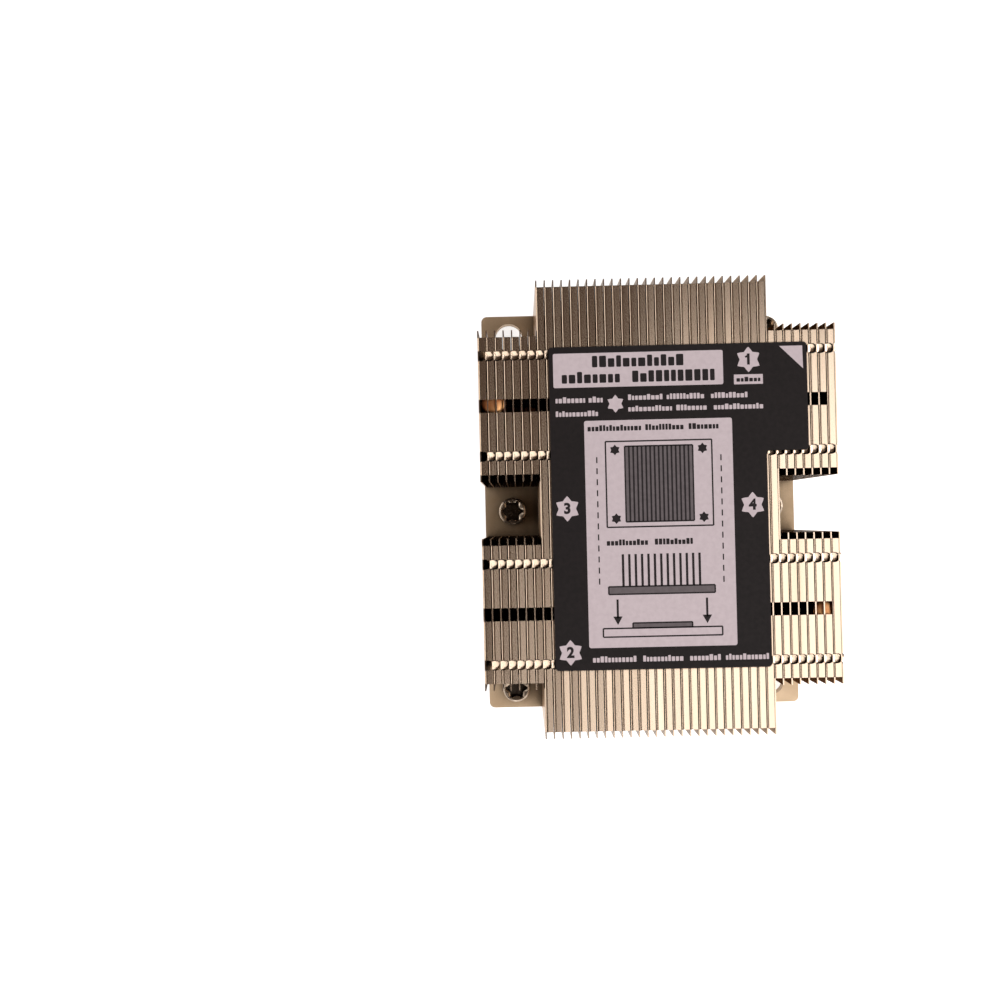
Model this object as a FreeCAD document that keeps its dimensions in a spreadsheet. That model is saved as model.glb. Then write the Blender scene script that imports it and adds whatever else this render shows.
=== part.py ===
import FreeCAD, Part
import os

import Sketcher

# Passive heatsink for a server processor, in millimetres.
# Z is up, and the origin is the middle of the contact face underneath.
# X runs across the fins and Y along them, with +Y towards the rear.
os.makedirs("parts", exist_ok=True)
doc = FreeCAD.newDocument("heatsink")
sheet = doc.addObject("Spreadsheet::Sheet", "sizes")

# Driving dimensions
SIZES = {
    # Base plate
    "base_width": 85,  # plate across the fins
    "base_length": 108,  # plate along the fins
    "base_thick": 4.5,  # plate thickness
    "base_corner": 1.5,  # radius of three corners
    "base_cut": 7.7,  # key cut across the rear right corner
    "pedestal_room": 7,  # raised contact face's sides to the middles of the nuts
    "pedestal_length": 78,  # raised contact face along the fins
    "pedestal_height": 1.5,  # contact face below the plate
    "guide_bore": 7.4,  # holes for the socket's two guide pins
    "fastener_side": 7.5,  # nuts and guide holes from the plate's sides
    "fastener_end": 5.8,  # corner nuts and guide holes from the plate's ends
    # Captive nuts and their rings
    "nut_head": 7.4,  # head diameter
    "nut_head_height": 5,  # head above the plate
    "nut_head_bevel": 0.5,  # bevel round the head's rim
    "nut_shank": 6,  # part that turns in the plate
    "nut_bore": 3.3,  # tapping bore of the M4 thread
    "nut_clearance": 0.08,  # radial play of the shank
    "nut_float": 0.1,  # play of the nut along its axis, above and below
    "nut_tail": 1.2,  # shank below the plate
    "socket_points": 5.5,  # six-lobe socket across its points
    "socket_valleys": 4.1,  # six-lobe socket across its valleys
    "socket_lobe": 0.6,  # half the width of each of the socket's points
    "socket_depth": 3.2,  # depth of the socket
    "nut_web": 0.8,  # metal between the socket's floor and the blind bore
    "ring_diameter": 8.4,  # outside of the retaining ring
    "ring_thick": 0.6,  # thickness of the retaining ring
    "ring_groove": 5,  # groove diameter in the shank
    "ring_play": 0.05,  # ring to the bottom of its groove
    "ring_mouth": 4.4,  # opening of the retaining ring
    # Folded fins
    "stack_side": 0.5,  # outermost sheets inside the plate's sides
    "fin_thick": 0.3,  # sheet thickness
    "fin_height": 58,  # fins above the plate
    "flange_gap": 0.1,  # flange to the next sheet
    "flange_setback": 1.6,  # sheet that stands proud of its flange at each end
    "bank_overhang": 0.1,  # long sheets beyond the plate's ends
    "block_room": 5.7,  # side blocks' far ends to the middles of the corner nuts
    "notch_width": 13.5,  # gap between the side blocks
    "slot_width": 3.1,  # length of flange cut away at a slot
    # Locks: a tab on each flange dips into a hole at the fold of the next sheet
    "lock_edge": 6,  # rows of locks inside both ends of the side blocks
    "lock_hole_width": 2.4,  # hole along the fin, at the fold
    "lock_hole_land": 0.1,  # flange left beyond a hole
    "lock_hole_taper": 0.5,  # how much the hole narrows on each side
    "lock_tab_width": 1.9,  # tab along the fin
    "lock_tab_gap": 0.25,  # tab's end to the far side of its hole
    "end_tab_reach": 0.45,  # tab beyond the middle of the flat end sheet
    # Heat pipes
    "pipe_round": 6,  # diameter of the pipe where it stands up
    "pipe_flat": 4,  # thickness of the pipe in the plate
    "pipe_shift": 1,  # pipes beyond the middle of the slot rows
    "pipe_side": 3.9,  # upright ends from the plate's sides
    "pipe_bend": 9,  # bend radius at the pipe's middle
    "pipe_reach": 20,  # flat end beyond the middle
    "pipe_top_gap": 1.4,  # pipe's tip below the fin tops
    "pipe_side_bevel": 1.2,  # bevel that stands for the rounded sides of the pressed pipe
    "pipe_tip_bevel": 0.5,  # bevel of the pipe's sealed tip
    "pipe_solder": 0.05,  # solder gap beside the pipe in its groove
    "pipe_clearance": 0.3,  # sheet to pipe
    # Label
    "label_side": 2.6,  # label's sides to the outermost sheets of the bank
    "label_end": 4.4,  # label's ends to the far ends of the side blocks
    "label_thick": 0.2,  # label thickness
    "ear_width": 9.9,  # ear at the rear right
    "ear_length": 25.4,  # ear along the fins
    "label_corner": 0.5,  # cut that stands for the small corner radius
    # How many sheets there are, from the middle of the stack outwards
    "stack_half": 21,  # sheets on each side of the middle one
    "block_sheets": 7,  # short sheets in each side block
}
for row, (alias, number) in enumerate(SIZES.items(), 1):
    sheet.set(f"A{row}", alias)
    sheet.set(f"B{row}", str(number))
    sheet.setAlias(f"B{row}", alias)
doc.recompute()

stack_half = int(sheet.stack_half)
block_sheets = int(sheet.block_sheets)

# Places that several pieces share
BASE_TOP = "(sizes.pedestal_height + sizes.base_thick)"
FIN_TOP = f"({BASE_TOP} + sizes.fin_height)"
HALF_SHEET = "(sizes.fin_thick / 2)"
PITCH = "((sizes.base_width / 2 - sizes.stack_side) / sizes.stack_half)"
FLANGE_TIP = f"({PITCH} - sizes.fin_thick / 2 - sizes.flange_gap)"
FASTENER_X = "(sizes.base_width / 2 - sizes.fastener_side)"
FASTENER_Y = "(sizes.base_length / 2 - sizes.fastener_end)"
BANK_END = "(sizes.base_length / 2 + sizes.bank_overhang)"
BLOCK_END = f"({FASTENER_Y} - sizes.block_room)"
NOTCH_SIDE = "(sizes.notch_width / 2)"
LOCK_OUTER = f"({BLOCK_END} - sizes.lock_edge)"
LOCK_INNER = f"({NOTCH_SIDE} + sizes.lock_edge)"
SLOT_PLACE = f"(({LOCK_INNER} + {LOCK_OUTER}) / 2)"
HOLE_REACH = f"({FLANGE_TIP} - sizes.lock_hole_land)"
PIPE_PLACE = f"({SLOT_PLACE} + sizes.pipe_shift)"
PIPE_STAND = "(sizes.base_width / 2 - sizes.pipe_side)"
LABEL_RIGHT = f"({PITCH} * (sizes.stack_half - sizes.block_sheets) - sizes.label_side)"
LABEL_REAR = f"({BLOCK_END} - sizes.label_end)"
PIPE_WIDTH = "((sizes.pipe_round - sizes.pipe_flat) * pi / 2 + sizes.pipe_flat)"


def new_body(name):
    """Start a sub-part."""
    body = doc.addObject("PartDesign::Body", name)
    body.Label = name
    return body


def origin_plane(body, role):
    """Find one of the body's own planes by its role."""
    return next(item for item in body.Origin.OriginFeatures if item.Role == role)


def new_sketch(body, name, role, offset=None):
    """Open a sketch on a plane of the body, moved along its normal by an expression."""
    sketch = body.newObject("Sketcher::SketchObject", name)
    sketch.AttachmentSupport = [(origin_plane(body, role), "")]
    sketch.MapMode = "FlatFace"
    if offset:
        sketch.setExpression("AttachmentOffset.Base.z", offset)
    return sketch


def value(sketch, expression):
    """Work out an expression as a plain number."""
    result = sketch.evalExpression(expression)
    return float(getattr(result, "Value", result))


def drive(sketch, constraint, expression):
    """Add a dimension and bind it to the sheet."""
    index = sketch.addConstraint(constraint)
    sketch.setExpression(f"Constraints[{index}]", expression)


def outline(sketch, corners):
    """Draw a closed outline whose corners are pairs of expressions."""
    points = [FreeCAD.Vector(value(sketch, x), value(sketch, y), 0) for x, y in corners]
    first = sketch.GeometryCount
    for index, point in enumerate(points):
        following = points[(index + 1) % len(points)]
        sketch.addGeometry(Part.LineSegment(point, following), False)
    for index, (x, y) in enumerate(corners):
        line = first + index
        following = first + (index + 1) % len(corners)
        sketch.addConstraint(Sketcher.Constraint("Coincident", line, 2, following, 1))
        drive(sketch, Sketcher.Constraint("DistanceX", -1, 1, line, 1, points[index].x), x)
        drive(sketch, Sketcher.Constraint("DistanceY", -1, 1, line, 1, points[index].y), y)


def rectangle(sketch, left, right, low, high):
    """Draw a rectangle between four expressions."""
    outline(sketch, [(left, low), (right, low), (right, high), (left, high)])


def circle(sketch, x, y, radius):
    """Draw a circle whose centre and radius are expressions."""
    centre = FreeCAD.Vector(value(sketch, x), value(sketch, y), 0)
    curve = Part.Circle(centre, FreeCAD.Vector(0, 0, 1), value(sketch, radius))
    index = sketch.addGeometry(curve, False)
    drive(sketch, Sketcher.Constraint("DistanceX", -1, 1, index, 3, centre.x), x)
    drive(sketch, Sketcher.Constraint("DistanceY", -1, 1, index, 3, centre.y), y)
    drive(sketch, Sketcher.Constraint("Radius", index, curve.Radius), radius)


def pad(body, sketch, length, middle=False, down=False):
    """Add material on a sketch."""
    feature = body.newObject("PartDesign::Pad", f"{sketch.Name}Pad")
    feature.Profile = sketch
    feature.Midplane = middle
    feature.Reversed = down
    feature.setExpression("Length", length)
    return feature


def pocket(body, sketch, length, middle=False, up=False):
    """Cut material away below a sketch, or above it."""
    feature = body.newObject("PartDesign::Pocket", f"{sketch.Name}Pocket")
    feature.Profile = sketch
    feature.Midplane = middle
    feature.Reversed = up
    feature.setExpression("Length", length)
    return feature


def edges_where(feature, wanted):
    """Name the edges of a feature that a test accepts by their middle point."""
    names = []
    for index, edge in enumerate(feature.Shape.Edges, 1):
        middle = edge.valueAt((edge.FirstParameter + edge.LastParameter) / 2)
        if wanted(edge, middle):
            names.append(f"Edge{index}")
    return names


def upright(edge):
    """Tell whether an edge stands along Z."""
    ends = edge.Vertexes
    return len(ends) == 2 and abs(ends[0].Z - ends[1].Z) > 0.9 * edge.Length


def build_base_plate():
    """Machined plate with a raised contact face, holes for the fasteners and pipe grooves."""
    body = new_body("base_plate")
    plate_sketch = new_sketch(body, "PlateOutline", "XY_Plane", "sizes.pedestal_height")
    rectangle(plate_sketch, "-sizes.base_width / 2", "sizes.base_width / 2",
              "-sizes.base_length / 2", "sizes.base_length / 2")
    plate = pad(body, plate_sketch, "sizes.base_thick")
    doc.recompute()

    # The rear right corner is cut off as a key, and the other three are rounded
    cut = body.newObject("PartDesign::Chamfer", "KeyCut")
    cut.Base = (plate, edges_where(plate, lambda edge, at: upright(edge) and at.x > 0 and at.y > 0))
    cut.setExpression("Size", "sizes.base_cut")
    doc.recompute()
    corners = body.newObject("PartDesign::Fillet", "RoundCorners")
    corners.Base = (cut, edges_where(cut, lambda edge, at: upright(edge) and at.x * at.y < 0
                                     or upright(edge) and at.x < 0))
    corners.setExpression("Radius", "sizes.base_corner")

    pedestal_sketch = new_sketch(body, "ContactFace", "XY_Plane")
    side = f"({FASTENER_X} - sizes.pedestal_room)"
    rectangle(pedestal_sketch, f"-{side}", side, "-sizes.pedestal_length / 2", "sizes.pedestal_length / 2")
    pad(body, pedestal_sketch, "sizes.pedestal_height")

    holes_sketch = new_sketch(body, "Holes", "XY_Plane", BASE_TOP)
    for _, x, y in fastener_places():
        circle(holes_sketch, x, y, "sizes.nut_shank / 2 + sizes.nut_clearance")
    for side, other in (("-", ""), ("", "-")):
        circle(holes_sketch, f"{side}{FASTENER_X}", f"{other}{FASTENER_Y}", "sizes.guide_bore / 2")
    pocket(body, holes_sketch, "sizes.base_thick")

    grooves_sketch = new_sketch(body, "PipeGrooves", "XY_Plane", BASE_TOP)
    half = f"({PIPE_WIDTH} / 2 + sizes.pipe_solder)"
    for side, other in (("-", ""), ("", "-")):
        outer = f"{side}({PIPE_STAND} + sizes.pipe_round / 6)"
        inner = f"{other}(sizes.pipe_reach + sizes.pipe_solder)"
        middle = f"{other}{PIPE_PLACE}"
        rectangle(grooves_sketch, outer, inner, f"{middle} - {half}", f"{middle} + {half}")
    pocket(body, grooves_sketch, "sizes.pipe_flat")
    return body


def fastener_places():
    """Give each nut's number and centre, in the order in which they are tightened."""
    x, y = FASTENER_X, FASTENER_Y
    return [(1, x, y), (2, f"-{x}", f"-{y}"), (3, f"-{x}", "0"), (4, x, "0")]


def build_captive_nut(number, x, y):
    """Turned nut with a six-lobe socket, a shank that turns in the plate and a ring groove."""
    body = new_body(f"captive_nut_{number}")
    body.setExpression("Placement.Base.x", x)
    body.setExpression("Placement.Base.y", y)

    seat = f"({BASE_TOP} + sizes.nut_float)"
    top = f"({BASE_TOP} + sizes.nut_head_height)"
    tail = "(sizes.pedestal_height - sizes.nut_tail)"
    groove_top = "(sizes.pedestal_height - sizes.nut_float)"
    groove_low = f"({groove_top} - sizes.ring_thick)"
    head = "sizes.nut_head / 2"
    shank = "sizes.nut_shank / 2"
    groove = "sizes.ring_groove / 2"
    bore = "sizes.nut_bore / 2"
    bore_top = f"({top} - sizes.socket_depth - sizes.nut_web)"
    bevel = "sizes.nut_head_bevel"
    profile = new_sketch(body, f"NutProfile{number}", "XZ_Plane")
    outline(profile, [(bore, tail), (shank, tail), (shank, groove_low), (groove, groove_low),
                      (groove, groove_top), (shank, groove_top), (shank, seat), (head, seat),
                      (head, f"{top} - {bevel}"), (f"{head} - {bevel}", top), ("0", top),
                      ("0", bore_top), (bore, bore_top)])
    turned = body.newObject("PartDesign::Revolution", f"NutTurned{number}")
    turned.Profile = profile
    turned.ReferenceAxis = (profile, ["V_Axis"])
    turned.Angle = 360

    # Six-lobe socket: a hexagon between the valleys, and three bars across the points
    socket = new_sketch(body, f"Socket{number}", "XY_Plane", top)
    corner = "sizes.socket_valleys / 2 / cos(30 deg)"
    outline(socket, [(f"{corner} * cos({60 * turn} deg)", f"{corner} * sin({60 * turn} deg)")
                     for turn in range(6)])
    pocket(body, socket, "sizes.socket_depth")
    points = new_sketch(body, f"SocketPoints{number}", "XY_Plane", top)
    rectangle(points, "-sizes.socket_points / 2", "sizes.socket_points / 2",
              "-sizes.socket_lobe", "sizes.socket_lobe")
    bar = pocket(body, points, "sizes.socket_depth")
    lobes = body.newObject("PartDesign::PolarPattern", f"SocketBars{number}")
    lobes.Originals = [bar]
    lobes.Axis = (points, ["N_Axis"])
    lobes.Angle = 360
    lobes.Occurrences = 3
    body.Tip = lobes
    return body


def build_retaining_ring(number, x, y):
    """Open ring that snaps into the nut's groove under the plate."""
    body = new_body(f"retaining_ring_{number}")
    body.setExpression("Placement.Base.x", x)
    body.setExpression("Placement.Base.y", y)
    low = "sizes.pedestal_height - sizes.nut_float - sizes.ring_thick"
    outer = "sizes.ring_diameter / 2"
    band = new_sketch(body, f"RingBand{number}", "XY_Plane", low)
    circle(band, "0", "0", outer)
    circle(band, "0", "0", "sizes.ring_groove / 2 + sizes.ring_play")
    pad(body, band, "sizes.ring_thick")
    mouth = new_sketch(body, f"RingMouth{number}", "XY_Plane", low)
    rectangle(mouth, "-sizes.ring_mouth / 2", "sizes.ring_mouth / 2", f"-{outer} - 1", "0")
    pocket(body, mouth, "sizes.ring_thick", up=True)
    return body


def lies_hidden(place):
    """Tell whether a sheet's whole flange lies under the label."""
    return (abs(place) + 1) * value(sheet, PITCH) < value(sheet, LABEL_RIGHT)


def lock_rows(place, low, high):
    """Give the rows that lock a sheet to the one before it, between two expressions.

    Where the label hides both sheets, their flanges are left plain.
    """
    if lies_hidden(place - 1) and lies_hidden(place):
        return []
    rows = [f"-{LOCK_OUTER}", f"-{LOCK_INNER}", LOCK_INNER, LOCK_OUTER]
    return [row for row in rows if value(sheet, low) < value(sheet, row) < value(sheet, high)]


def slot_rows(low, high):
    """Give the slot rows that lie between two expressions."""
    rows = [f"-{SLOT_PLACE}", SLOT_PLACE]
    return [row for row in rows if value(sheet, low) < value(sheet, row) < value(sheet, high)]


def build_fin(name, place, web, flange, bare=None, pipe=None):
    """Folded sheet: an upright web with flanges at top and bottom that reach the next sheet.

    place is the sheet's number from the middle. web and flange are its ends along Y.
    bare is a stretch with no flange, and pipe is a heat pipe's side and whether it stands here.
    The last sheet of the stack is flat.
    """
    body = new_body(name)
    body.setExpression("Placement.Base.x", f"{PITCH} * {place}")
    last = place == stack_half
    reach = "sizes.end_tab_reach" if place == stack_half - 1 else f"({HOLE_REACH} - sizes.lock_tab_gap)"

    folded = new_sketch(body, f"{name}_fold", "XZ_Plane", f"-({web[0]} + {web[1]}) / 2")
    left = f"-{HALF_SHEET}"
    if last:
        rectangle(folded, left, HALF_SHEET, BASE_TOP, FIN_TOP)
    else:
        inner_low = f"({BASE_TOP} + sizes.fin_thick)"
        inner_top = f"({FIN_TOP} - sizes.fin_thick)"
        outline(folded, [(left, BASE_TOP), (FLANGE_TIP, BASE_TOP), (FLANGE_TIP, inner_low),
                         (HALF_SHEET, inner_low), (HALF_SHEET, inner_top), (FLANGE_TIP, inner_top),
                         (FLANGE_TIP, FIN_TOP), (left, FIN_TOP)])
    pad(body, folded, f"{web[1]} - ({web[0]})", middle=True)
    if last:
        notches = new_sketch(body, f"{name}_notches", "XY_Plane", FIN_TOP)
        for row in lock_rows(place, *flange):
            rectangle(notches, f"-{PITCH} / 2", f"{PITCH} / 2",
                      f"{row} - sizes.lock_hole_width / 2", f"{row} + sizes.lock_hole_width / 2")
        pocket(body, notches, "sizes.fin_thick")
        return body

    # The top flange stops short of the sheet's ends and is cut away at the slots, where it has them
    gaps = [(f"{web[0]} - 1", flange[0]), (flange[1], f"{web[1]} + 1")]
    if not lies_hidden(place) and place < stack_half - 1:
        for row in slot_rows(*flange):
            gaps.append((f"{row} - sizes.slot_width / 2", f"{row} + sizes.slot_width / 2"))
    if bare:
        gaps.append(bare)
    flange_gaps = new_sketch(body, f"{name}_gaps", "XY_Plane", FIN_TOP)
    for low, high in gaps:
        rectangle(flange_gaps, HALF_SHEET, PITCH, low, high)
    pocket(body, flange_gaps, "sizes.fin_thick")

    # Holes at the fold take the tabs of the sheet before
    half_hole = "sizes.lock_hole_width / 2"
    narrow = f"({half_hole} - sizes.lock_hole_taper)"
    hole_rows = lock_rows(place, *flange)
    holes = new_sketch(body, f"{name}_lock_holes", "XY_Plane", FIN_TOP) if hole_rows else None
    for row in hole_rows:
        outline(holes, [(left, f"{row} - {half_hole}"), (HOLE_REACH, f"{row} - {narrow}"),
                        (HOLE_REACH, f"{row} + {narrow}"), (left, f"{row} + {half_hole}")])
    if hole_rows:
        pocket(body, holes, "sizes.fin_thick")

    # Tabs on the flange's edge
    half_tab = "sizes.lock_tab_width / 2"
    tab_rows = lock_rows(place + 1, *flange)
    tabs = new_sketch(body, f"{name}_tabs", "XY_Plane", FIN_TOP) if tab_rows else None
    for row in tab_rows:
        rectangle(tabs, f"{FLANGE_TIP} - {HALF_SHEET}", f"{PITCH} + {reach}",
                  f"{row} - {half_tab}", f"{row} + {half_tab}")
    if tab_rows:
        pad(body, tabs, "sizes.fin_thick", down=True)

    if pipe:
        side, stands = pipe
        cut_pipe_way(body, name, side, stands)
    return body


def cut_pipe_way(body, name, side, stands):
    """Open a sheet from below round a heat pipe, up to its tip where the pipe stands."""
    middle = f"{side}{PIPE_PLACE}"
    half = f"({PIPE_WIDTH} / 2 + sizes.pipe_clearance)"
    if stands:
        top = f"{FIN_TOP} - sizes.pipe_top_gap + sizes.pipe_clearance"
    else:
        top = f"{BASE_TOP} + sizes.pipe_round / 2"
    way = new_sketch(body, f"{name}_pipe_way", "YZ_Plane")
    rectangle(way, f"{middle} - {half}", f"{middle} + {half}", f"{BASE_TOP} - 1", top)
    pocket(body, way, f"{PITCH} * 3", middle=True)


def placed_sketch(name, turn, shift):
    """Open a sketch outside any body, turned to a main plane and moved by expressions."""
    sketch = doc.addObject("Sketcher::SketchObject", name)
    sketch.Placement = FreeCAD.Placement(FreeCAD.Vector(), turn)
    for axis, expression in zip("xyz", shift):
        sketch.setExpression(f"Placement.Base.{axis}", expression)
    return sketch


def build_heat_pipe(name, angle):
    """Copper heat pipe: pressed flat in its groove, bent up at one end and round where it stands.

    It is drawn at the rear left. The front right one is turned half round the middle.
    """
    to_yz = FreeCAD.Rotation(FreeCAD.Vector(1, 1, 1), 120)
    level = f"({BASE_TOP} - sizes.pipe_flat / 2)"
    bend_x = f"-({PIPE_STAND} - sizes.pipe_bend)"
    bend_z = f"({level} + sizes.pipe_bend)"
    tip_z = f"({FIN_TOP} - sizes.pipe_top_gap)"

    # The pressed section has a bevel at each corner for its rounded sides
    wide = f"({PIPE_WIDTH} / 2)"
    flat = f"({wide} - sizes.pipe_side_bevel)"
    thick = "(sizes.pipe_flat / 2)"
    side = f"({thick} - sizes.pipe_side_bevel)"
    section = placed_sketch(f"{name}_section", to_yz, (bend_x, PIPE_PLACE, level))
    outline(section, [(f"-{flat}", f"-{thick}"), (flat, f"-{thick}"), (wide, f"-{side}"), (wide, side),
                      (flat, thick), (f"-{flat}", thick), (f"-{wide}", side), (f"-{wide}", f"-{side}")])
    leg = doc.addObject("Part::Extrusion", f"{name}_leg")
    leg.Base = section
    leg.DirMode = "Custom"
    leg.Dir = FreeCAD.Vector(1, 0, 0)
    leg.Solid = True
    leg.setExpression("LengthFwd", f"{PIPE_STAND} - sizes.pipe_bend + sizes.pipe_reach")
    bend = doc.addObject("Part::Revolution", f"{name}_bend")
    bend.Source = section
    bend.Axis = FreeCAD.Vector(0, 1, 0)
    bend.Angle = 90
    bend.Solid = True
    bend.setExpression("Base.x", bend_x)
    bend.setExpression("Base.z", bend_z)

    # Upright end with its sealed, bevelled tip under the fins' slots
    post = doc.addObject("Part::Cylinder", f"{name}_post")
    post.setExpression("Radius", "sizes.pipe_round / 2")
    post.setExpression("Height", f"{tip_z} - sizes.pipe_tip_bevel - {bend_z}")
    tip = doc.addObject("Part::Cone", f"{name}_tip")
    tip.setExpression("Radius1", "sizes.pipe_round / 2")
    tip.setExpression("Radius2", "sizes.pipe_round / 2 - sizes.pipe_tip_bevel")
    tip.setExpression("Height", "sizes.pipe_tip_bevel")
    for piece, low in ((post, bend_z), (tip, f"{tip_z} - sizes.pipe_tip_bevel")):
        piece.setExpression("Placement.Base.x", f"-{PIPE_STAND}")
        piece.setExpression("Placement.Base.y", PIPE_PLACE)
        piece.setExpression("Placement.Base.z", low)

    pipe = doc.addObject("Part::MultiFuse", name)
    pipe.Label = name
    pipe.Shapes = [leg, bend, post, tip]
    pipe.Placement = FreeCAD.Placement(FreeCAD.Vector(), FreeCAD.Rotation(FreeCAD.Vector(0, 0, 1), angle))
    return pipe


def build_label():
    """Thin printed label on the fin tops, with an ear at the rear right."""
    body = new_body("top_label")
    label_sketch = new_sketch(body, "LabelOutline", "XY_Plane", FIN_TOP)
    right, rear = LABEL_RIGHT, LABEL_REAR
    ear = f"{right} + sizes.ear_width"
    ear_front = f"{rear} - sizes.ear_length"
    outline(label_sketch, [(f"-{right}", f"-{rear}"), (right, f"-{rear}"), (right, ear_front),
                           (ear, ear_front), (ear, rear), (f"-{right}", rear)])
    sticker = pad(body, label_sketch, "sizes.label_thick")
    doc.recompute()
    corners = body.newObject("PartDesign::Chamfer", "LabelCorners")
    corners.Base = (sticker, edges_where(sticker, lambda edge, at: upright(edge)))
    corners.setExpression("Size", "sizes.label_corner")
    return body


def build_fin_block(name, side, along):
    """Side block: short sheets locked together, left or right of the bank and front or rear."""
    if along > 0:
        web = (NOTCH_SIDE, BLOCK_END)
        flange = (f"{NOTCH_SIDE} + sizes.flange_setback", f"{BLOCK_END} - sizes.flange_setback")
    else:
        web = (f"-{BLOCK_END}", f"-{NOTCH_SIDE}")
        flange = (f"-{BLOCK_END} + sizes.flange_setback", f"-{NOTCH_SIDE} - sizes.flange_setback")
    holds_pipe = side * along < 0
    sheets = []
    for index in range(block_sheets):
        place = side * (stack_half - index)
        pipe = None
        if holds_pipe and index > 0:
            pipe = ("" if along > 0 else "-", pipe_stands_at(place))
        sheets.append(build_fin(f"{name}_sheet_{index + 1}", place, web, flange, pipe=pipe))
    block = doc.addObject("Part::Compound", name)
    block.Label = name
    block.Links = sheets
    return block


def pipe_stands_at(place):
    """Tell whether the upright end of a heat pipe crosses the sheet at this place."""
    at = abs(place) * value(sheet, PITCH)
    reach = value(sheet, "sizes.pipe_round / 2 + sizes.fin_thick / 2 + sizes.pipe_clearance")
    return abs(at - value(sheet, PIPE_STAND)) < reach


# Build every sub-part
whole = (f"-{BANK_END}", BANK_END)
whole_flange = (f"-{BANK_END} + sizes.flange_setback", f"{BANK_END} - sizes.flange_setback")
middle = (f"-{BLOCK_END}", BLOCK_END)
middle_flange = (f"-{BLOCK_END} + sizes.flange_setback", f"{BLOCK_END} - sizes.flange_setback")
notch = (f"-{NOTCH_SIDE} - sizes.flange_setback", f"{NOTCH_SIDE} + sizes.flange_setback")
bridge_place = stack_half - block_sheets
bank_places = list(range(block_sheets - stack_half, bridge_place))

nodes = [build_base_plate()]
nodes.append(build_heat_pipe("heat_pipe_rear_left", 0))
nodes.append(build_heat_pipe("heat_pipe_front_right", 180))
for number, place in enumerate(bank_places, 1):
    flange = middle_flange if place == bank_places[-1] else whole_flange
    nodes.append(build_fin(f"long_fin_{number:02d}", place, whole, flange))
nodes.append(build_fin("bridge_fin", bridge_place, middle, middle_flange, bare=notch))
nodes.append(build_fin_block("fin_block_rear_left", -1, 1))
nodes.append(build_fin_block("fin_block_front_left", -1, -1))
nodes.append(build_fin_block("fin_block_rear_right", 1, 1))
nodes.append(build_fin_block("fin_block_front_right", 1, -1))
for number, x, y in fastener_places():
    nodes.append(build_captive_nut(number, x, y))
    nodes.append(build_retaining_ring(number, x, y))
nodes.append(build_label())
doc.recompute()

# Check every object before anything is written
for item in doc.Objects:
    if "Invalid" in item.State or "Error" in item.State:
        raise RuntimeError(f"{item.Label} failed: {item.State}")
for node in nodes:
    if node.Shape.isNull() or not node.Shape.isValid():
        raise RuntimeError(f"{node.Label} has no valid shape")
for node in nodes:
    node.Shape.exportStep(f"parts/{node.Label}.step")
print(f"{len(nodes)} sub-parts written")
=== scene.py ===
import math
import random

import bmesh
import bpy
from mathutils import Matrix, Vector


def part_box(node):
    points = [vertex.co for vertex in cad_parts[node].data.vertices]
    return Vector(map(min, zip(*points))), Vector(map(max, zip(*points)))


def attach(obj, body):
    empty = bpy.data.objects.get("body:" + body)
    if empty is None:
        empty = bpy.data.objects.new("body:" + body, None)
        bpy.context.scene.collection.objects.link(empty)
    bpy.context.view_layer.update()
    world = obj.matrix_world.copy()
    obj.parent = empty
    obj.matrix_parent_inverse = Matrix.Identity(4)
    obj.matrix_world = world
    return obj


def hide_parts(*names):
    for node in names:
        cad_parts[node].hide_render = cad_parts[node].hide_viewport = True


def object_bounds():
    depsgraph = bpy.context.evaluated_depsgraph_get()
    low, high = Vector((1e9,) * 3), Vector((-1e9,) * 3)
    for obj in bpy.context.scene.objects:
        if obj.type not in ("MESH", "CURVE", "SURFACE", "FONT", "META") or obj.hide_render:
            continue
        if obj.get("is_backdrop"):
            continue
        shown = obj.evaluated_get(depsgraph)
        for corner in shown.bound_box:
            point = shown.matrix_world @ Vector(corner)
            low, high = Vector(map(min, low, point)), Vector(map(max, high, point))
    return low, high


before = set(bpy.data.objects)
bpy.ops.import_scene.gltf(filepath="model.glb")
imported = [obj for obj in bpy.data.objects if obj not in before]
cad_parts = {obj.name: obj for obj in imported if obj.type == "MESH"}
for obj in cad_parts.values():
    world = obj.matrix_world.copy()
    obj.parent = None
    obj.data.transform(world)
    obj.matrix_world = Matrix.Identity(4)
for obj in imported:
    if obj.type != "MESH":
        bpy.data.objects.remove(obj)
cad_low, cad_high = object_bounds()
# Sizes are written in millimetres, and MM turns them into metres
MM = 0.001

# Viewpoint. The heatsink is seen from almost straight above its left side, about 40 cm away,
# so the plate under the fins shows smaller than their tops.
CAMERA_PLACE = (-32.95, -2.26, 400.4)
CAMERA_TURN = (0.782, 0.812, -1.298)
bpy.context.scene.view_settings.view_transform = "Standard"
camera = bpy.data.objects.new("viewpoint", bpy.data.cameras.new("viewpoint"))
camera.location = Vector(CAMERA_PLACE) * MM
camera.rotation_euler = [math.radians(angle) for angle in CAMERA_TURN]
camera.data.sensor_width = 36
camera.data.lens = 51.36
camera.data.clip_start = 0.01
bpy.context.collection.objects.link(camera)
bpy.context.scene.camera = camera


# Floor and light. A white sheet under the part, a wide soft disc above its right and front,
# long panels around it, a weak disc below it and an even, warm and dim room. Sizes are in metres.
FLOOR_HALF = 6
FLOOR_GAP = 0.0001
FLOOR_GLOW = 0.8
LAMP_AIM = (0, 0, 0.03)


def new_material(name):
    """Start a material and give its nodes, its links and its principled shader."""
    material = bpy.data.materials.new(name)
    material.use_nodes = True
    tree = material.node_tree
    return material, tree, tree.nodes["Principled BSDF"]


def feed(tree, socket, value):
    """Link another node's output to a socket, or set a plain value on it."""
    if isinstance(value, bpy.types.NodeSocket):
        tree.links.new(value, socket)
    else:
        socket.default_value = value


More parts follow.
